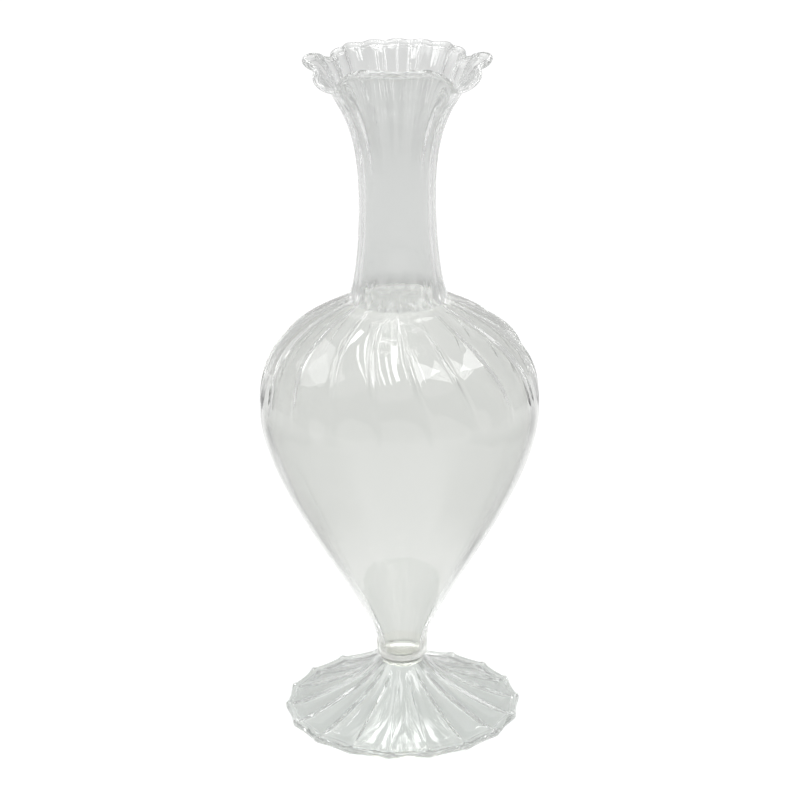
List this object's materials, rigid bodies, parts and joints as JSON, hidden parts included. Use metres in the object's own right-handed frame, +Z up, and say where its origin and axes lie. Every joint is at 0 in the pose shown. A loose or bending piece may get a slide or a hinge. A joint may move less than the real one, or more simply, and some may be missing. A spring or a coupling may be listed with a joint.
{
  "type": "glass urn vase",
  "caption": "Clear ribbed glass vase: urn-shaped bowl on a fluted spread foot, tall waisted neck and a flared, crimped lip.",
  "frame": {"origin": "centre of the foot's resting face, on the vessel's axis", "axes": "+Z up along the vessel's axis, -Y towards the viewer, +X to the viewer's right"},
  "size_m": [0.0932, 0.0926, 0.23],
  "materials": {
    "vessel_glass": "blown, fire-polished",
    "foot_glass": "pressed flutes, fire-polished",
    "seal_glass": "flame-fused",
    "lip_glass": "fire-polished"
  },
  "bodies": {
    "root": {"foot": "foot_glass", "foot_edge_bead": "foot_glass", "foot_seal": "seal_glass", "bowl_base": "vessel_glass", "bowl": "vessel_glass", "neck": "vessel_glass", "lip": "vessel_glass", "lip_bead": "lip_glass"}
  },
  "joints": []
}
